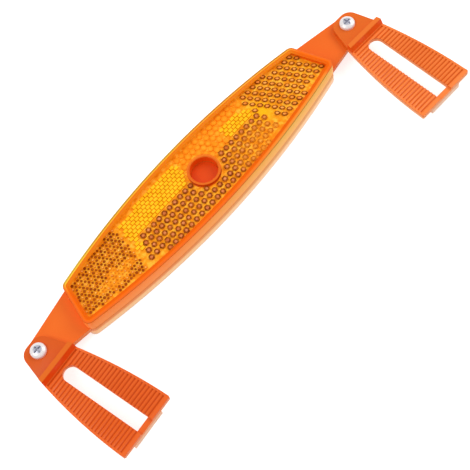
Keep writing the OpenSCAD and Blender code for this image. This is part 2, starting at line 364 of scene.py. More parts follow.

# %% [markdown]
# The clips came out of another mould. Light and shade are painted into their tone: ridge tops,
# edges and the lip are painted paler, where light goes through the thin parts, and grooves and the
# foot of the standing rib are painted deeper, for the shade in them. Each part could have a
# material of its own, with a seam between them. The painted light finds the parts by height
# instead, and the pad by its distance along the clip. Every pair below says where one tone ends
# and the next begins. The right clip is painted a shade paler than the left, as more light falls
# on it from the right.

# %% Plastic of the clips
SCREW_X = 80.0
LEFT_AIM = -84.5  # degrees, from the screw along the clip
RIGHT_AIM = -92.5
LIP_TO_PLATE = (5.4, 6.1)
GROOVE_TO_SIDE = (7.38, 7.46)
SIDE_TO_RIDGE = (7.55, 7.8)
PLATE_TO_RIB = (8.05, 8.25)
RIB_TO_CROWN = (10.3, 10.45)
PAD_TO_PLATE = (6.9, 7.5)  # along the clip
LEFT_TONES = {"pad": "#dd5a10", "groove": "#cc4a04", "edge": "#ff8c44",
              "crown": "#e66a12", "rib": "#ec4a04", "lip": "#ffc49c"}
# painted light: the right clip's tones are paler, as more light falls on it from the right
RIGHT_TONES = {"pad": "#e66818", "groove": "#d65808", "edge": "#ffa05c",
               "crown": "#ee7422", "rib": "#ea560c", "lip": "#ffd0b0"}


def clip_painted_light(screw_x, aim, tones):
    """Painted light and shade of a clip that points in this direction from its screw."""
    screw = (screw_x * MM, 0.0, 0.0)
    ahead = (math.cos(math.radians(aim)), math.sin(math.radians(aim)), 0.0)

    def painted_light(tree, tone):
        height = axes_of(tree)["Z"]
        step = add(tree, "ShaderNodeVectorMath", {0: object_coords(tree), 1: screw}, operation="SUBTRACT")
        along = add(tree, "ShaderNodeVectorMath", {0: step.outputs[0], 1: ahead}, operation="DOT_PRODUCT")
        # painted light and shade: paler upright sides and lip, a deeper groove and rib
        sides = blend(tree, looks_up(tree), tones["edge"], tone)
        below = blend(tree, measured(tree, height, *GROOVE_TO_SIDE), sides, tones["groove"])
        ridges = blend(tree, measured(tree, height, *SIDE_TO_RIDGE), below, tone)
        on_plate = measured(tree, along.outputs["Value"], *PAD_TO_PLATE)
        flat = blend(tree, on_plate, tones["pad"], ridges)
        standing = blend(tree, measured(tree, height, *RIB_TO_CROWN), tones["rib"], tones["crown"])
        upper = blend(tree, measured(tree, height, *PLATE_TO_RIB), flat, standing)
        return blend(tree, measured(tree, height, *LIP_TO_PLATE), tones["lip"], upper)
    return painted_light


left_clip_plastic = moulded_plastic("moulded_clip_polypropylene", "#f4722e", "#ec641c", 0.40,
                                    clip_painted_light(-SCREW_X, LEFT_AIM, LEFT_TONES))
# painted light: the right clip's plastic is a shade paler, as more light falls on it
right_clip_plastic = moulded_plastic("painted_paler_clip_polypropylene", "#fc863c", "#f4782c", 0.40,
                                     clip_painted_light(SCREW_X, RIGHT_AIM, RIGHT_TONES))
print("clip plastics:", left_clip_plastic.name, "and", right_clip_plastic.name)

# %% [markdown]
# The shells are amber acrylic, polished in the mould. Refraction would be the true way to show
# them, but it is slow and noisy behind such a thin face. Light passes the face almost unhindered,
# so the face is see-through with a thin amber veil. The side walls are seen edge-on through far
# more plastic: they look milky, pale at the back edge, with a dark weld line half way up. Painted
# light of the white room makes them creamier to the right. A little glow stands for the light
# that runs inside them.

# %% Amber acrylic: face and walls
CLEAR_SHEEN = 0.06
TOP_MM = 10.5  # height of the front face
# painted light: along the lens the side walls turn from orange to cream
WALL_LIGHT_TURN = (-30, 28)  # along the lens, from orange to cream


def acrylic(name, tone_of, alpha, roughness, glow, sheen=CLEAR_SHEEN):
    """Moulded acrylic with a little light of its own. tone_of makes its tone, or is plain hex."""
    material, tree, out = new_material(name)
    tone = colour(tone_of) if isinstance(tone_of, str) else tone_of(tree)
    surface(tree, out, {
        "Base Color": tone, "Roughness": roughness, "IOR": PLASTIC_IOR, "Alpha": alpha,
        "Specular IOR Level": sheen, "Emission Color": tone, "Emission Strength": glow})
    return material


def heights(tree, stops):
    """Tone by height above the back face, from (millimetres, hex) stops."""
    share = measured(tree, axes_of(tree)["Z"], 0, TOP_MM)
    return ramp(tree, share, [(z / TOP_MM, text) for z, text in stops])


def wall_tone(tree):
    """Side wall: pale at the back edge, a dark weld line, orange above it, and creamier to the right with
    painted light.
    """
    orange = heights(tree, [(1.0, "#f6ca94"), (2.8, "#fdc07c"), (3.6, "#e6883e"),
                            (5.2, "#dc7626"), (5.7, "#fa9448"), (9.6, "#f8883a")])
    # painted light of the white room: the creamier tones on the right
    cream = heights(tree, [(1.0, "#ffd2a6"), (2.8, "#f6bc76"), (3.6, "#dc9444"),
                           (5.2, "#dc8e3c"), (5.7, "#fab660"), (9.6, "#e8b048")])
    return blend(tree, measured(tree, axes_of(tree)["X"], *WALL_LIGHT_TURN), orange, cream)


clear_face = acrylic("amber_acrylic_face", "#ff8a00", 0.04, 0.06, 0.0)
side_wall = acrylic("amber_acrylic_side_wall", wall_tone, 0.94, 0.2, 0.25)
inner_wall = acrylic("amber_acrylic_inner_wall", "#f4760e", 0.97, 0.3, 0.15)
# painted shade: the wall of the well is a darker orange
well_wall = acrylic("amber_acrylic_well_wall", "#e65206", 0.95, 0.2, 0.1)
# painted light: the mouth, foot and halo of the well are a lighter orange
well_edge = acrylic("amber_acrylic_well_edge", "#e87224", 0.8, 0.3, 0.12)
print("face, walls and well of the shells have their acrylic")

# %% [markdown]
# The strips round the face differ by side, with light painted into their tones. The edge towards
# the hub gathers the light that runs inside the face and glows yellow, most of all at its left
# end. The rim side is deep orange, with painted light that makes it yellower to the right. Both
# ends stay orange. Five tones say this for each strip: three in turn along the hub side, from
# left to right, and two along the rim side.

# %% Amber acrylic: the strips round the face
TO_HUB = (3, 8)  # across the lens
OFF_END = (59.5, 57.5)  # from the ends inwards
HUB_LEFT_END = (-50, -38)  # along the hub side
HUB_TURN = (0, 10)
# painted light: the rim side turns yellower to the right
RIM_TURN = (2, 28)  # along the rim side


def side_tones(hub_end, hub_left, hub_right, rim_left, rim_right):
    """Tone of a strip round the face, with its painted light, by its place along both sides."""
    def tone(tree):
        parts = axes_of(tree)
        to_hub = measured(tree, parts["Y"], *TO_HUB)
        off_end = measured(tree, calc(tree, "ABSOLUTE", parts["X"]), *OFF_END)
        hub = blend(tree, measured(tree, parts["X"], *HUB_TURN), hub_left, hub_right)
        hub = blend(tree, measured(tree, parts["X"], *HUB_LEFT_END), hub_end, hub)
        to_right = measured(tree, parts["X"], *RIM_TURN)
        rim = blend(tree, calc(tree, "MULTIPLY", to_right, off_end), rim_left, rim_right)
        return blend(tree, calc(tree, "MULTIPLY", to_hub, off_end), rim, hub)
    return tone


band_tones = side_tones("#ea7c0c", "#ea7c0c", "#ea7e10", "#ea620a", "#e8640a")
lit_tones = side_tones("#fcc034", "#f8ae28", "#f8a42c", "#f0680e", "#f07e26")
bevel_tones = side_tones("#cca838", "#c0902a", "#c6802a", "#ee6a22", "#ee8e36")
edge_tones = side_tones("#b49e2c", "#a07a24", "#b46a10", "#de6a22", "#b48838")
foot_tones = side_tones("#e87412", "#e87412", "#e87412", "#ee620a", "#ea640c")
smooth_band = acrylic("amber_acrylic_band", band_tones, 0.9, 0.12, 0.06)
lit_line = acrylic("amber_acrylic_lit_line", lit_tones, 0.95, 0.3, 0.25)
lit_bevel = acrylic("amber_acrylic_bevel", bevel_tones, 0.95, 0.35, 0.1)
edge_line = acrylic("amber_acrylic_edge_line", edge_tones, 0.97, 0.35, 0.0)
foot_line = acrylic("amber_acrylic_foot_line", foot_tones, 0.97, 0.2, 0.06)
print("five strips round the face have their acrylic")

# %% [markdown]
# ## The outline
# The lens is drawn from arcs alone, and so is every loop inside it. Each corner is an arc that
# touches a slanted end and a long arc. A modifier could round the corners, but then the inner
# loops wouldn't keep their distance. The middle of a corner lies at a known depth inside both
# sides, which gives a quadratic with two answers: one near the hub, one far from it.

# %% Outline of the lens, moved in by a distance
CORNER_R = 2.6
EDGE_STEPS = 28
CORNER_STEPS = 10
CIRCLE_STEPS = 72
HUB = Vector((0.0, HUB_DIST))
HUB_C = Vector((0.0, HUB_HALF - HUB_EDGE_R))
RIM_C = Vector((0.0, RIM_EDGE_R - RIM_HALF))
END_IN = Vector((-math.cos(END_ANGLE), -math.sin(END_ANGLE)))
END_DIR = Vector((math.sin(END_ANGLE), -math.cos(END_ANGLE)))


def arc(middle, radius, start, stop, steps):
    """Points of an arc after its first one."""
    angles = [start + (stop - start) * k / steps for k in range(1, steps + 1)]
    return [middle + radius * Vector((math.cos(a), math.sin(a))) for a in angles]


def corner_middle(middle, reach, depth, which):
    """Place at this depth inside the end and at this reach from the middle of a long arc."""
    q = HUB + depth * END_IN - middle
    b = q.dot(END_DIR)
    return middle + q + (which * math.sqrt(b * b - q.dot(q) + reach * reach) - b) * END_DIR


def angle_of(v):
    """Direction of a vector, in radians."""
    return math.atan2(v.y, v.x)


def outline(inset):
    """Closed loop of points, this far inside the edge of the lens."""
    r = max(CORNER_R - inset, CORNER_R / 4)
    low = corner_middle(RIM_C, RIM_EDGE_R - inset - r, inset + r, 1)
    high = corner_middle(HUB_C, HUB_EDGE_R - inset - r, inset + r, -1)
    low_angle = angle_of(low - RIM_C)
    high_angle = angle_of(high - HUB_C)
    half = (arc(RIM_C, RIM_EDGE_R - inset, -math.pi / 2, low_angle, EDGE_STEPS)
            + arc(low, r, low_angle, END_ANGLE, CORNER_STEPS)
            + arc(high, r, END_ANGLE, high_angle, CORNER_STEPS)
            + arc(HUB_C, HUB_EDGE_R - inset, high_angle, math.pi / 2, EDGE_STEPS))
    other = [Vector((-p.x, p.y)) for p in reversed(half[:-1])]
    return half + other + [Vector((0.0, inset - RIM_HALF))]


def circle(radius):
    """Closed loop of points round the middle of the well."""
    turns = [math.tau * k / CIRCLE_STEPS for k in range(CIRCLE_STEPS)]
    return [Vector((WELL_X + radius * math.cos(a), WELL_Y + radius * math.sin(a))) for a in turns]


print("outline points:", len(outline(0.0)))

# %% [markdown]
# ## Shells
# A shell is one thin moulding with a face and a side wall. It could be a solid hollowed by a
# modifier, but then every strip would have the same finish. Here it is a stack of closed loops
# joined by strips of faces: up the outside, round the bevel, across the face, and back down the
# inside. Every strip and every filled part has a number, which picks its finish from one list.

# %% Loops, strips and fills
FACE, BAND, LIT, EDGE, LINE, WALL, INNER, WELL, HALO, FOOT = range(10)
SHARP_DEGREES = 32


def add_loop(bm, points, z):
    """Closed loop of edges at this height, as its corners and its edges."""
    verts = [bm.verts.new((p.x * MM, p.y * MM, z * MM)) for p in points]
    edges = [bm.edges.new((verts[k - 1], verts[k])) for k in range(len(verts))]
    return verts, edges


def strip(bm, low, high, slot):
    """Faces between two loops with the same number of points."""
    a, b = low[0], high[0]
    for k in range(len(a)):
        face = bm.faces.new((a[k - 1], a[k], b[k], b[k - 1]))
        face.material_index = slot


def fill(bm, loops, slot):
    """Faces between an outer loop and any inner ones."""
    edges = [e for loop in loops for e in loop[1]]
    made = bmesh.ops.triangle_fill(bm, edges=edges, use_beauty=True, use_dissolve=False)
    for part in made["geom"]:
        if isinstance(part, bmesh.types.BMFace):
            part.material_index = slot


def finished_mesh(name, bm):
    """Plain mesh from a bmesh, which is freed."""
    mesh = bpy.data.meshes.new(name)
    bm.to_mesh(mesh)
    bm.free()
    return mesh


def link(name, mesh, materials):
    """Object in the scene with these materials, shaded smooth but for its real edges."""
    piece = in_scene(name, mesh)
    for material in materials:
        mesh.materials.append(material)
    mesh.shade_smooth()
    mesh.set_sharp_from_angle(angle=math.radians(SHARP_DEGREES))
    return piece


print("finishes of a shell:", FOOT + 1)

# %% [markdown]
# On the face, three narrow strips lie inside the bevel, then a smooth band, then the clear
# window. The band is moved a little towards the rim, so it is wider on the hub side, where the
# face is seen more from the side. The front shell also has the tube of the round well, with a
# rounded mouth, which ends in the carrier's pad. Its wall has painted shade, and its mouth, its
# foot and the halo round it have painted light.

# %% Parts of a shell
BEVEL = 0.35
BEVEL_STEPS = 5
LINE_STEPS = 3  # so many steps of the bevel belong to the edge line
DRAFT = 0.05
STRIPS = ((0.8, EDGE), (1.15, LIT), (1.6, FOOT))  # how far in each strip of the face ends
RIM_BAND = 2.35
BAND_SHIFT = -0.25
MOUTH_R = 0.3
# painted light: this foot of the well's wall takes the lighter halo finish
WELL_LIT_FOOT = 0.25  # height of the shaded foot of the well
WELL_LAP = 0.7  # how far the tube reaches below the pad's top


def outer_loops(bm, at, height):
    """Loops up the side wall and round the bevel."""
    loops = [add_loop(bm, outline(0.0), at(0)), add_loop(bm, outline(DRAFT), at(height - BEVEL))]
    for k in range(1, BEVEL_STEPS + 1):
        t = math.pi / 2 * k / BEVEL_STEPS
        inset = DRAFT + BEVEL * (1 - math.cos(t))
        loops.append(add_loop(bm, outline(inset), at(height - BEVEL * (1 - math.sin(t)))))
    return loops


def face_strips(bm, edge, z):
    """Strips from the bevel inwards, and the band. Gives the loop round the clear window."""
    last = edge
    for inset, slot in STRIPS:
        inner = add_loop(bm, outline(inset), z)
        strip(bm, last, inner, slot)
        last = inner
    band = add_loop(bm, [p + Vector((0.0, BAND_SHIFT)) for p in outline(RIM_BAND)], z)
    fill(bm, [last, band], BAND)
    return band


def well_tube(bm, at, height):
    """Tube of the well. Gives its loops in the face and in the underside of the face."""
    foot = WELL_DEPTH + WELL_LAP
    turns = [(MOUTH_R, 0), (0, MOUTH_R), (0, WELL_DEPTH - WELL_LIT_FOOT), (0, foot),
             (WELL_WALL, foot), (WELL_WALL, FACE_T)]
    tube = [add_loop(bm, circle(WELL_R + out), at(height - down)) for out, down in turns]
    for k in range(len(tube) - 1):
        # painted shade on the wall of the well, painted light on the rest of the tube
        strip(bm, tube[k], tube[k + 1], WELL if k == 1 else HALO)
    halo = add_loop(bm, circle(WELL_R + WELL_WALL), at(height))
    strip(bm, halo, tube[0], HALO)
    return [halo], [tube[-1]]


print("band inside the strips:", round(RIM_BAND - STRIPS[-1][0], 2), "mm wide")

# %% [markdown]
# Both shells come from one function. The back one is built downwards from the joint, without a
# well. A mirrored copy would do as well, but its normals would have to be turned afterwards.

# %% Build the front and back shells
def build_shell(name, height, sign, has_well):
    """One shell from the joint on. sign 1 builds it upwards and -1 downwards."""
    bm = bmesh.new()

    def at(level):
        return JOINT_Z + sign * level

    outer = outer_loops(bm, at, height)
    inner_top = add_loop(bm, outline(WALL_T), at(height - FACE_T))
    inner_low = add_loop(bm, outline(WALL_T), at(0))
    strip(bm, outer[0], outer[1], WALL)
    for k in range(1, len(outer) - 1):
        strip(bm, outer[k], outer[k + 1], LINE if k <= LINE_STEPS else EDGE)
    band = face_strips(bm, outer[-1], at(height))
    strip(bm, inner_top, inner_low, INNER)
    strip(bm, inner_low, outer[0], WALL)
    above, below = well_tube(bm, at, height) if has_well else ([], [])
    fill(bm, [band] + above, FACE)
    fill(bm, [inner_top] + below, FACE)
    bmesh.ops.recalc_face_normals(bm, faces=bm.faces)
    return link(name, finished_mesh(name, bm), [
        clear_face, smooth_band, lit_line, lit_bevel, edge_line, side_wall, inner_wall,
        well_wall, well_edge, foot_line])


front_shell = build_shell("front_shell", FRONT_Z - JOINT_Z, 1, True)
back_shell = build_shell("back_shell", JOINT_Z, -1, False)
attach(front_shell, "reflector")
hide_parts("front_lens")
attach(back_shell, "reflector")
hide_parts("back_lens")
print("shell faces:", len(front_shell.data.polygons), len(back_shell.data.polygons))

# %% [markdown]
# ## Where the prisms stand
# The prisms stand in staggered rows. Three zones share the lens: a middle one, and two end zones
# whose borders aim at the hub like the ends do. Places could be typed in, but a lattice and a
# test give the same with two lines, and a change of size moves them all.

# %% A lattice of places
ZONE_HALF = 33.5  # half length of the middle zone
FIELD_IN = 2.6  # how far inside the edge the prisms begin
FIELD_SHIFT = 0.8  # the whole field lies this far towards the hub


def zone_edge(y):
    """Half length of the middle zone at this place across the lens."""
    return ZONE_HALF * (HUB_DIST - y) / HUB_DIST


def depth_inside(x, y):
    """How far a place lies inside the outline."""
    p = Vector((abs(x), y))
    return min(HUB_EDGE_R - (p - HUB_C).length, RIM_EDGE_R - (p - RIM_C).length, (p - HUB).dot(END_IN))


def off_well(x, y, gap):
    """Whether a place is outside the tube of the well by this gap."""
    return math.hypot(x - WELL_X, y - WELL_Y) > WELL_R + WELL_WALL + gap


def lattice(start, pitch, row, keep, margin=0.9):
    """Staggered places over the whole lens that pass the test."""
    places = []
    rows = math.ceil(2 * HUB_HALF / row)
    columns = math.ceil(2 * LENS_HALF / pitch) + 1
    for j in range(-rows, rows + 1):
        for i in range(-columns, columns + 1):
            x = start[0] + pitch * (i + (j % 2) / 2)
            y = start[1] + row * j
            if depth_inside(x, y - FIELD_SHIFT) > FIELD_IN + margin and keep(x, y):
                places.append((x, y))
    return places


def near_any(x, y, places, reach):
    """Whether a place is near any of these."""
    return any(abs(x - px) < reach and abs(y - py) < reach for px, py in places)


print(f"zone border at y = 0: {zone_edge(0):.1f} mm from the middle")

# %% [markdown]
# All prisms are alike on the real part. Under one light they show in several ways: as rings on
# the rim side, as bright bricks towards the hub, as soft pebbles between these and the well, and
# as fine dots in the left zone. Real cube corners would need a costly refraction to show this, so
# each look is a family of shapes, and a small test says where each family may stand.

# %% Where each family may stand
ZONE_GAP = 0.7
RINGS_BELOW = 1.5
BRICKS_LEFT = (-1.5, 1.9)  # the left patch lies beyond this corner
BRICKS_CORNER = (-29.5, -2.5)  # and runs down round the end of the zone
BRICKS_RIGHT = (18.5, 31)  # the right patch, along the lens
BUMPS_FROM = (-1.5, 2.2)
CALM_MIDDLE = (-44.5, -2.4)
CALM_HALF = (8.5, 2.6)
RIGHT_FROM = 35


def in_middle(x, y, gap=1.1):
    """The middle zone, with a gap to its borders."""
    return abs(x) < zone_edge(y) - gap


def in_bricks(x, y):
    """The hub side of the middle zone, where the prisms show as bright bricks."""
    lean = max(0.0, -x - 20) * 0.05
    left = x < BRICKS_LEFT[0] and y > BRICKS_LEFT[1] and depth_inside(x, y) > FIELD_IN + 0.6 + lean
    corner = x < BRICKS_CORNER[0] and y > BRICKS_CORNER[1] and depth_inside(x, y) > FIELD_IN + 1.5
    right = BRICKS_RIGHT[0] < x < BRICKS_RIGHT[1] and 2.0 < y < 7.9 - 0.12 * (x - 19)
    return (left or corner or right) and in_middle(x, y, 1.0) and off_well(x, y, 1.6)


def in_bumps(x, y):
    """Between the bricks and the well, where the prisms show as soft pebbles."""
    near = x > BUMPS_FROM[0] and y > BUMPS_FROM[1] and not in_bricks(x, y)
    return near and in_middle(x, y, 1.2) and off_well(x, y, 0.9)


def in_rings(x, y):
    """The rim side of the middle zone, where they show as rings."""
    return y < RINGS_BELOW and in_middle(x, y) and off_well(x, y, 0.5) and not in_bricks(x, y)


def in_left_zone(x, y):
    """The left end zone."""
    return -x > zone_edge(y) + ZONE_GAP


def in_calm_patch(x, y):
    """A patch of the left zone where only the finest dots show."""
    return math.hypot((x - CALM_MIDDLE[0]) / CALM_HALF[0], (y - CALM_MIDDLE[1]) / CALM_HALF[1]) < 1


def in_right_zone(x, y):
    """The right end zone. Its rings come nearer to the bricks than to the other rings."""
    return x > RIGHT_FROM if y < 2 else x > zone_edge(y) - 1.0


def in_right_end(x, y):
    """The right end zone as it is on the back face."""
    return x > zone_edge(y) + ZONE_GAP


print("middle of the calm patch:", CALM_MIDDLE, "mm")

# %% [markdown]
# Each family is one list of places. Where two families meet, the one that is drawn later gives
# way, so that no prism stands in another. The back face isn't seen from the camera; it gets
# plain rings all over, at the same distances.

# %% Lists of places
PITCH = 2.67
ROW = 2.58
END_ROW = 2.31
BRICK_LONG = 1.9
BRICK_ROW = 1.29
MIDDLE_START = (1.41, 0.8)
RIGHT_START = (36.2, 0.35)
LEFT_START = (-57.3, 1.3)
BRICK_START = (-1.0, 3.0)
HEART_CLEAR = 0.3
BRICK_CLEAR = 1.7
BUMP_CLEAR = 1.65

middle_rings = lattice(MIDDLE_START, PITCH, ROW, in_rings, 0.0)
right_rings = lattice(RIGHT_START, PITCH, END_ROW, in_right_zone, 0.3)
left_hearts = lattice(LEFT_START, PITCH, END_ROW, in_left_zone, 0.3)
fine_places = lattice(LEFT_START, PITCH / 2, END_ROW / 2, in_left_zone, 0.3)
fine_dots = [(x, y) for x, y in fine_places if not near_any(x, y, left_hearts, HEART_CLEAR)]
calm_dots = [(x, y) for x, y in fine_dots if in_calm_patch(x, y)]
left_dots = [(x, y) for x, y in fine_dots if not in_calm_patch(x, y)]
bricks = lattice(BRICK_START, BRICK_LONG, BRICK_ROW, in_bricks)
bricks = [(x, y) for x, y in bricks if not near_any(x, y, right_rings, BRICK_CLEAR)]
bumps = lattice(MIDDLE_START, PITCH * 0.9, ROW * 0.8, in_bumps, 0.6)
bumps = [(x, y) for x, y in bumps if not near_any(x, y, bricks + right_rings, BUMP_CLEAR)]
back_middle = lattice(MIDDLE_START, PITCH, ROW, in_middle)
back_ends = (lattice(RIGHT_START, PITCH, END_ROW, in_right_end, 0.3)
             + lattice(LEFT_START, PITCH, END_ROW, in_left_zone, 0.3))
print("middle rings", len(middle_rings), "right rings", len(right_rings))
print("left hearts", len(left_hearts), "left dots", len(left_dots), len(calm_dots))
print("bricks", len(bricks), "bumps", len(bumps))
print("behind the back face", len(back_middle), "and", len(back_ends))

# %% [markdown]
# ## Colours of the prism field
# A cube corner looks dark where it sends the camera's own darkness back, and golden where it
# catches the lamps. So the rings have a dark, broken edge round a pale orange middle, the bricks
# are yellow, and the ground between them is gold with light streaks. On the right, towards the
# rim, the rings fade into the ground. Each tone below is a function that makes its own nodes.

# %% Tones of the prism field
FADE_RIGHT = (9, 22)  # along the lens
FADE_TO_RIM = (2.7, -8)  # across it
GAP_MIDDLE = (33, 1, 8.5)
GAP_REACH = (6, 2)


def glowing(name, tone_of, roughness, glow):
    """Lit amber: a solid body that glows a little, as a prism sends light back."""
    return acrylic(name, tone_of, 1.0, roughness, glow, SHEEN / 2)


def mottled(size_mm, stops):
    """Tone from noise with spots of about this size."""
    def tone(tree):
        return ramp(tree, noise(tree, size_mm, 2.0, 0.6), stops)
    return tone


def fading(near_stops, far_stops, size_mm):
    """Mottled tone that changes towards the rim side of the right part of the field."""
    def tone(tree):
        parts = axes_of(tree)
        to_right = measured(tree, parts["X"], *FADE_RIGHT)
        to_rim = measured(tree, parts["Y"], *FADE_TO_RIM)
        near = mottled(size_mm, near_stops)(tree)
        far = mottled(size_mm, far_stops)(tree)
        return blend(tree, calc(tree, "MULTIPLY", to_right, to_rim), near, far)
    return tone


def ground_tone(tree):
    """Painted light sent back by the prisms: gold with light streaks, and yellow in the gap between the
    middle and the right zone.
    """
    streaks = mottled(1.6, [(0.36, "#ea8a0e"), (0.5, "#f6a01a"), (0.64, "#ffbe3a")])(tree)
    # painted light: a yellow glow in the gap between the zones
    return blend(tree, measured(tree, distance_to(tree, GAP_MIDDLE), *GAP_REACH), streaks, "#ffb810")


GLOW = 0.12
print("amber glow of a prism:", GLOW)

# %% [markdown]
# Every family has one finish for its edges and one for its tips. The numbers are roughness and
# glow. The colours are light enough to be told apart through the amber face.

# %% Materials of the prism field
ring_dark = glowing("prism_edge_dark_amber", fading([(0.4, "#6c2000"), (0.62, "#b05c12")],
                                                    [(0.4, "#c4660c"), (0.62, "#ea941e")], 0.9), 0.5, GLOW)
end_dark = glowing("prism_edge_brown_amber", mottled(0.9, [(0.4, "#662000"), (0.62, "#ac5a0a")]), 0.5, GLOW)
ring_heart = glowing("prism_tip_pale_amber", fading([(0.35, "#c46434"), (0.65, "#e4925c")],
                                                    [(0.35, "#e68a22"), (0.65, "#f8a83a")], 2), 0.4, GLOW)
end_heart = glowing("prism_tip_gold_amber", mottled(2, [(0.35, "#e8842c"), (0.65, "#ffb45c")]), 0.4, GLOW)
dot_dark = glowing("prism_edge_deep_amber", mottled(4, [(0.35, "#7a2600"), (0.65, "#a84a04")]), 0.5, GLOW)
dot_soft = glowing("prism_edge_soft_amber", mottled(3, [(0.35, "#c86c08"), (0.65, "#e0881a")]), 0.5, GLOW)
dot_heart = glowing("prism_tip_rose_amber", mottled(3, [(0.35, "#f09440"), (0.65, "#ffc060")]), 0.4, GLOW)
brick_gold = glowing("prism_face_golden_amber", mottled(3, [(0.3, "#fab40c"), (0.7, "#fdca22")]), 0.4, 0.22)
brick_groove = glowing("prism_groove_amber", mottled(3, [(0.3, "#d08a00"), (0.7, "#e6a010")]), 0.5, 0.2)
bump_gold = glowing("prism_face_soft_amber", mottled(3, [(0.3, "#f09212"), (0.7, "#f8ac2c")]), 0.4, 0.15)
bump_groove = glowing("prism_side_soft_amber", mottled(3, [(0.3, "#ee880c"), (0.7, "#f89a1c")]), 0.5, 0.15)
ground_gold = glowing("prism_ground_amber", ground_tone, 0.5, 0.18)
land_orange = glowing("prism_land_amber", band_tones, 0.5, 0.14)
print("prism materials are ready")

# %% [markdown]
# ## Repeating with Geometry Nodes
# Hundreds of prisms could be copied in a loop of Python, but a modifier does it in one step. A
# pin is low and six-sided, as a cube corner is from the front, and its top is split into a dark
# edge and a pale middle. A pebble is a rounder pin, and a brick is a box with its top drawn in.

# %% Shapes for the node groups
def pin_shape(tree, share, sides=6):
    """Low pin one unit wide. Gives its mesh and the middle of its top, drawn in to this share."""
    pin = add(tree, "GeometryNodeMeshCylinder", {"Vertices": sides, "Radius": 0.5, "Depth": 1.0})
    edge = add(tree, "GeometryNodeExtrudeMesh", {
        "Mesh": pin.outputs["Mesh"], "Selection": pin.outputs["Top"], "Offset Scale": 0.0})
    drawn = add(tree, "GeometryNodeScaleElements", {
        "Geometry": edge.outputs["Mesh"], "Selection": edge.outputs["Top"], "Scale": share})
    return drawn.outputs["Geometry"], edge.outputs["Top"]


def pebble_shape(tree, share):
    """A pin with more sides."""
    return pin_shape(tree, share, 12)


def brick_shape(tree, share):
    """Box one unit wide. Gives its mesh and its top, drawn in to this share."""
    brick = add(tree, "GeometryNodeMeshCube", {"Size": (1.0, 1.0, 1.0)})
    normal = add(tree, "GeometryNodeInputNormal")
    parts = add(tree, "ShaderNodeSeparateXYZ", {"Vector": normal.outputs[0]})
    above = add(tree, "FunctionNodeCompare", {0: parts.outputs["Z"], 1: 0.5}, operation="GREATER_THAN")
    drawn = add(tree, "GeometryNodeScaleElements", {
        "Geometry": brick.outputs["Mesh"], "Selection": above.outputs[0], "Scale": share})
    return drawn.outputs["Geometry"], above.outputs[0]


print("the shapes are pins, pebbles and bricks")

# %% [markdown]
# A node group sets one of these shapes on every place of a cloud. The sizes, the turn and the
# random scatter of the sizes are named inputs, and a fixed seed makes every build the same.

# %% The node groups
def repeat_tree(name, shape, share, edge_material, top_material):
    """Node group that sets one shape on every place of its mesh."""
    tree = bpy.data.node_groups.new(name, "GeometryNodeTree")
    tree.is_modifier = True
    tree.interface.new_socket("Geometry", in_out="INPUT", socket_type="NodeSocketGeometry")
    for label in ("Length", "Width", "Height", "Turn", "Scatter"):
        tree.interface.new_socket(label, in_out="INPUT", socket_type="NodeSocketFloat")
    tree.interface.new_socket("Seed", in_out="INPUT", socket_type="NodeSocketInt")
    tree.interface.new_socket("Geometry", in_out="OUTPUT", socket_type="NodeSocketGeometry")
    given = add(tree, "NodeGroupInput").outputs
    mesh, top = shape(tree, share)
    edged = add(tree, "GeometryNodeSetMaterial", {"Geometry": mesh, "Material": edge_material})
    topped = add(tree, "GeometryNodeSetMaterial", {
        "Geometry": edged.outputs[0], "Selection": top, "Material": top_material})
    size = add(tree, "FunctionNodeRandomValue", {
        2: calc(tree, "SUBTRACT", 1.0, given["Scatter"]), 3: calc(tree, "ADD", 1.0, given["Scatter"]),
        "Seed": given["Seed"]}, data_type="FLOAT")
    scale = add(tree, "ShaderNodeCombineXYZ", {
        "X": calc(tree, "MULTIPLY", given["Length"], size.outputs[1]),
        "Y": calc(tree, "MULTIPLY", given["Width"], size.outputs[1]),
        "Z": given["Height"]})
    turn = add(tree, "ShaderNodeCombineXYZ", {"Z": given["Turn"]})
    placed = add(tree, "GeometryNodeInstanceOnPoints", {
        "Points": given["Geometry"], "Instance": topped.outputs[0],
        "Rotation": turn.outputs[0], "Scale": scale.outputs[0]})
    real = add(tree, "GeometryNodeRealizeInstances", {"Geometry": placed.outputs[0]})
    add(tree, "NodeGroupOutput", {"Geometry": real.outputs[0]})
    return tree


RING_TREE = repeat_tree("ring_pins", pin_shape, 0.46, ring_dark, ring_heart)
END_TREE = repeat_tree("end_pins", pin_shape, 0.54, end_dark, end_heart)
DOT_TREE = repeat_tree("dot_pins", pin_shape, 0.5, dot_dark, dot_dark)
SOFT_DOT_TREE = repeat_tree("soft_dot_pins", pin_shape, 0.5, dot_soft, dot_soft)
HEART_TREE = repeat_tree("heart_pins", pin_shape, 0.7, dot_soft, dot_heart)
BRICK_TREE = repeat_tree("bricks", brick_shape, 0.82, brick_groove, brick_gold)
BUMP_TREE = repeat_tree("pebbles", pebble_shape, 0.55, bump_groove, bump_gold)
print("node groups:", [tree.name for tree in bpy.data.node_groups])

# %% [markdown]
# The next function puts a node group to work: it lends it a cloud of places as a modifier, sets
# the inputs by the identifiers of their sockets, keeps the result as a plain mesh, and takes the
# modifier away again. Plain meshes can be joined into one field later.

# %% From places to plain meshes
SEED = 3


def sizes(length, width, height, turn=0.0, scatter=0.05):
    """Inputs of a node group, from millimetres and degrees."""
    return {"Length": length * MM, "Width": width * MM, "Height": height * MM,
            "Turn": math.radians(turn), "Scatter": scatter, "Seed": SEED}


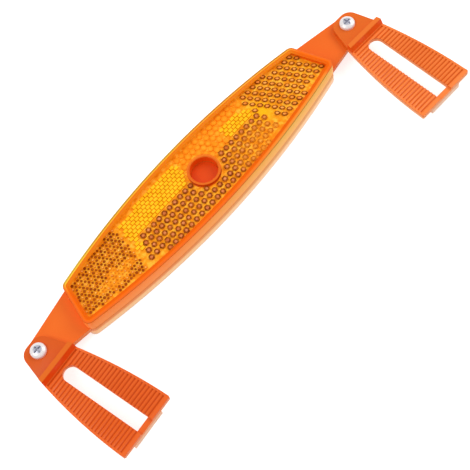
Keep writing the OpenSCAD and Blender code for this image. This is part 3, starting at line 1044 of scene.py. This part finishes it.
def repeat(name, places, z, tree, values):
    """Plain mesh with one shape per place, from a modifier that is applied and removed."""
    mesh = bpy.data.meshes.new(name)
    mesh.from_pydata([(x * MM, y * MM, z * MM) for x, y in places], [], [])
    piece = in_scene(name, mesh)
    modifier = piece.modifiers.new(name, "NODES")
    modifier.node_group = tree
    sockets = {item.name: item.identifier for item in tree.interface.items_tree if item.in_out == "INPUT"}
    for label, value in values.items():
        modifier[sockets[label]] = value
    bpy.context.view_layer.update()
    ready = piece.evaluated_get(bpy.context.evaluated_depsgraph_get())
    made = bpy.data.meshes.new_from_object(ready)
    piece.modifiers.clear()
    piece.data = made
    bpy.data.meshes.remove(mesh)
    made.name = name
    return piece


print("seed of the scatter:", SEED)

# %% [markdown]
# ## The two prism fields
# A field is one object: a ground sheet, an orange land round it, and all families of prisms. The
# tips stay a hair behind the face, and no two surfaces lie in one plane.

# %% Tools for a field
def join(name, pieces):
    """One object from several, with every material kept."""
    bm = bmesh.new()
    materials = []
    for piece in pieces:
        materials += [m for m in piece.data.materials if m not in materials]
        slots = [materials.index(m) for m in piece.data.materials]
        start = len(bm.faces)
        bm.from_mesh(piece.data)
        bm.faces.ensure_lookup_table()
        for face in bm.faces[start:]:
            face.material_index = slots[face.material_index]
        bpy.data.objects.remove(piece)
    mesh = finished_mesh(name, bm)
    for material in materials:
        mesh.materials.append(material)
    return in_scene(name, mesh)


def sheet(name, loops, z, material):
    """Flat sheet between an outer loop and any inner ones."""
    bm = bmesh.new()
    fill(bm, [add_loop(bm, points, z) for points in loops], 0)
    bmesh.ops.recalc_face_normals(bm, faces=bm.faces)
    mesh = finished_mesh(name, bm)
    mesh.materials.append(material)
    return in_scene(name, mesh)


PIN_H = 0.3
PIN_TOP = FRONT_Z - FACE_T - 0.05
PIN_MID = PIN_TOP - PIN_H / 2
GROUND_Z = PIN_TOP - 0.45
print(f"tips at {PIN_TOP:.2f} mm, ground at {GROUND_Z:.2f} mm")

# %% [markdown]
# Lengths, widths and heights below are in millimetres. The ground ends a little outside the
# outermost prisms, and the land goes on from there to the side wall. The back field is the same
# work upside down: it is mirrored in height, and its normals are turned back outwards.

# %% Build both prism fields
GROUND_IN = 2.3
OVAL_TURN = -48.6
LAND_EDGE = outline(WALL_T + 0.1)
FIELD_EDGE = [p + Vector((0.0, FIELD_SHIFT)) for p in outline(GROUND_IN)]

front_field = join("front_prism_field", [
    sheet("ground", [FIELD_EDGE, circle(WELL_R + WELL_WALL)], GROUND_Z, ground_gold),
    sheet("land", [LAND_EDGE, FIELD_EDGE], GROUND_Z, land_orange),
    repeat("middle_rings", middle_rings, PIN_MID, RING_TREE, sizes(2.3, 2.3, PIN_H)),
    repeat("right_rings", right_rings, PIN_MID, END_TREE, sizes(2.4, 1.6, PIN_H, turn=OVAL_TURN)),
    repeat("left_hearts", left_hearts, PIN_MID, HEART_TREE, sizes(0.9, 0.9, PIN_H, scatter=0.1)),
    repeat("left_dots", left_dots, PIN_MID, DOT_TREE, sizes(0.95, 0.95, PIN_H, scatter=0.15)),
    repeat("calm_dots", calm_dots, PIN_MID, SOFT_DOT_TREE, sizes(0.6, 0.6, PIN_H, scatter=0.3)),
    repeat("bricks", bricks, PIN_MID, BRICK_TREE, sizes(1.84, 1.24, PIN_H, scatter=0.02)),
    repeat("bumps", bumps, PIN_MID, BUMP_TREE, sizes(2.1, 2.1, PIN_H, scatter=0.1)),
])
back_field = join("back_prism_field", [
    sheet("back_ground", [FIELD_EDGE], GROUND_Z, ground_gold),
    sheet("back_land", [LAND_EDGE, FIELD_EDGE], GROUND_Z, land_orange),
    repeat("back_middle", back_middle, PIN_MID, RING_TREE, sizes(2.3, 2.3, PIN_H)),
    repeat("back_ends", back_ends, PIN_MID, END_TREE, sizes(2.3, 2.3, PIN_H)),
])
back_field.data.transform(Matrix.Translation((0, 0, FRONT_Z * MM)) @ Matrix.Diagonal((1, 1, -1, 1)))
back_field.data.flip_normals()
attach(front_field, "reflector")
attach(back_field, "reflector")
print("front field faces:", len(front_field.data.polygons))
print("back field faces:", len(back_field.data.polygons))

# %% [markdown]
# ## Carrier, clips and screws
# These keep the exact shape of their solids. Each gets a copy whose loose facets are joined, so
# that a bevel modifier can soften every real edge, as a mould does. Without that step the bevel
# would find false edges between the facets.

# %% Softened copies of the solids
SOFT_MM = 0.12
SOFT_STEPS = 2
SOFT_DEGREES = 40  # edges sharper than this are softened
WELD_MM = 0.002
FLAT_DEGREES = 1


def softened(node_name, body, material):
    """Copy of a solid with joined facets and softened edges."""
    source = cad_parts[node_name]
    bm = bmesh.new()
    bm.from_mesh(source.data)
    bmesh.ops.remove_doubles(bm, verts=bm.verts, dist=WELD_MM * MM)
    bmesh.ops.dissolve_limit(bm, angle_limit=math.radians(FLAT_DEGREES), verts=bm.verts, edges=bm.edges)
    piece = link(node_name + "_soft", finished_mesh(node_name + "_soft", bm), [material])
    edge = piece.modifiers.new("soft_edges", "BEVEL")
    edge.width = SOFT_MM * MM
    edge.segments = SOFT_STEPS
    edge.limit_method = "ANGLE"
    edge.angle_limit = math.radians(SOFT_DEGREES)
    edge.use_clamp_overlap = True
    edge.harden_normals = True
    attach(piece, body)
    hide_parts(node_name)


softened("carrier", "reflector", carrier_plastic)
softened("left_clip", "left_clip_arm", left_clip_plastic)
softened("right_clip", "right_clip_arm", right_clip_plastic)
print("softened with", SOFT_MM, "mm: carrier and clips")

# %% [markdown]
# The screws and nuts are steel with a bright zinc plating. A painted highlight makes the head pale
# round its rim, and it is darker round the recess. Full metal would mirror the white room and
# vanish in it, so the finish is only partly metallic.

# %% Bright zinc
HIGHLIGHT_RIM = (1.3, 1.7)  # distance from the screw's axis
GRAIN_MM = 0.4


def bright_zinc():
    """Zinc plating: a painted highlight on the head's rim, and darker metal in the middle of the head."""
    material, tree, out = new_material("bright_zinc_plated_steel")
    parts = axes_of(tree)
    across = calc(tree, "SUBTRACT", calc(tree, "ABSOLUTE", parts["X"]), SCREW_X * MM)
    arm = add(tree, "ShaderNodeCombineXYZ", {"X": across, "Y": parts["Y"]})
    radius = add(tree, "ShaderNodeVectorMath", {0: arm.outputs[0]}, operation="LENGTH")
    rim = measured(tree, radius.outputs["Value"], *HIGHLIGHT_RIM)
    # painted highlight: the rim of the head is pale and less metallic
    surface(tree, out, {
        "Base Color": blend(tree, rim, "#c6c7d4", "#f4f0f0"), "Metallic": spread(tree, rim, 0.5, 0.2),
        "Roughness": spread(tree, noise(tree, GRAIN_MM, 3.0), 0.2, 0.35)})
    return material


zinc = bright_zinc()
for node_name in ("left_screw", "right_screw", "left_nut", "right_nut"):
    softened(node_name, "reflector", zinc)
